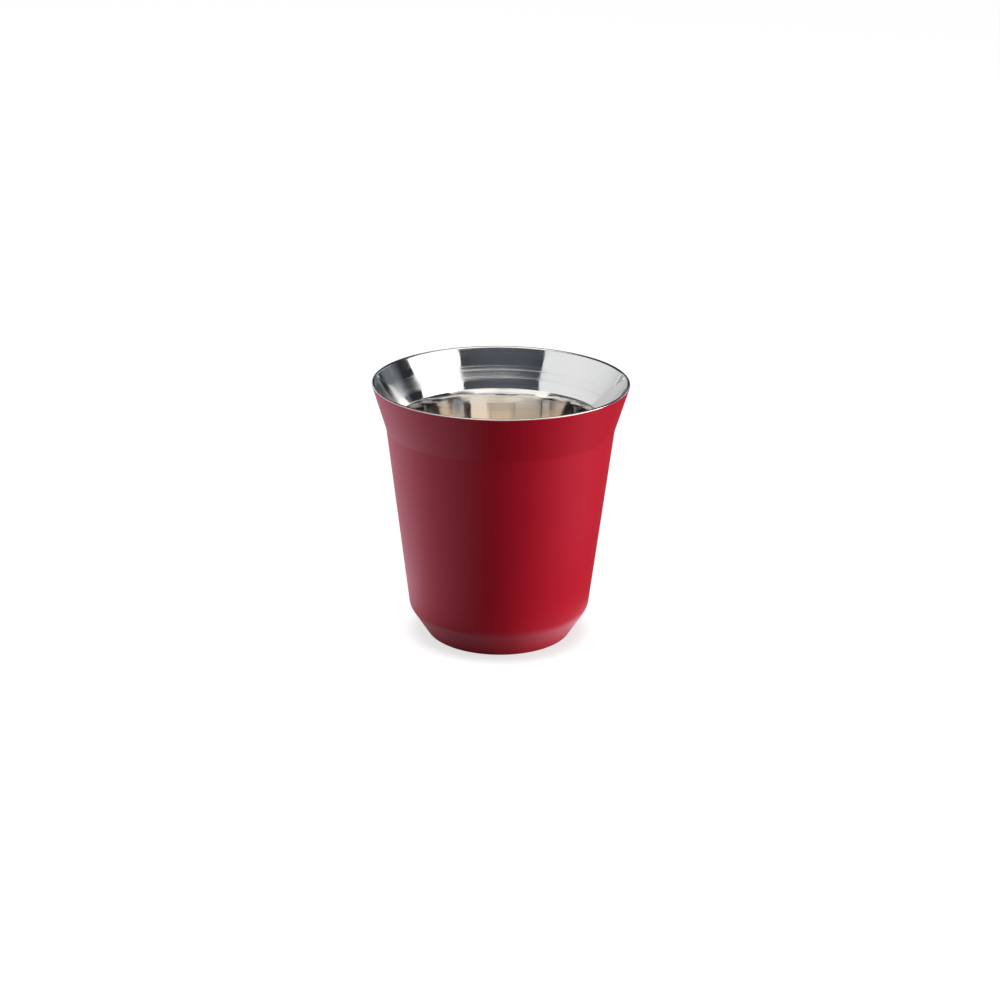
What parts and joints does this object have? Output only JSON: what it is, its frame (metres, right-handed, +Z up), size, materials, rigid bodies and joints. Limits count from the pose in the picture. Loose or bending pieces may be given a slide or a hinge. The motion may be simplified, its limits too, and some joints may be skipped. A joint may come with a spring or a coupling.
{
  "type": "espresso cup",
  "caption": "Handle-less double-wall steel cup with a flared lip, tapered red lacquered body, chamfered foot and bare steel bowl, for a small hot drink.",
  "frame": {"origin": "centre of the foot ring, on the plane that the cup stands on", "axes": "+Z up along the cup's axis; the cup is round, so X and Y are alike"},
  "size_m": [0.0618, 0.0618, 0.064],
  "materials": {
    "red_lacquer": "satin red lacquer over drawn steel sheet",
    "liner_steel": "bare stainless steel, funnel polished with fine turned lines, bowl a little warmer",
    "base_steel": "bare stainless steel, circular brushed",
    "lip_steel": "polished weld bead",
    "weld_steel": "plain weld bead"
  },
  "bodies": {
    "root": {"outer_shell": "red_lacquer", "inner_liner": "liner_steel", "base_plate": "base_steel", "lip_weld": "lip_steel", "base_weld": "weld_steel"}
  },
  "joints": []
}
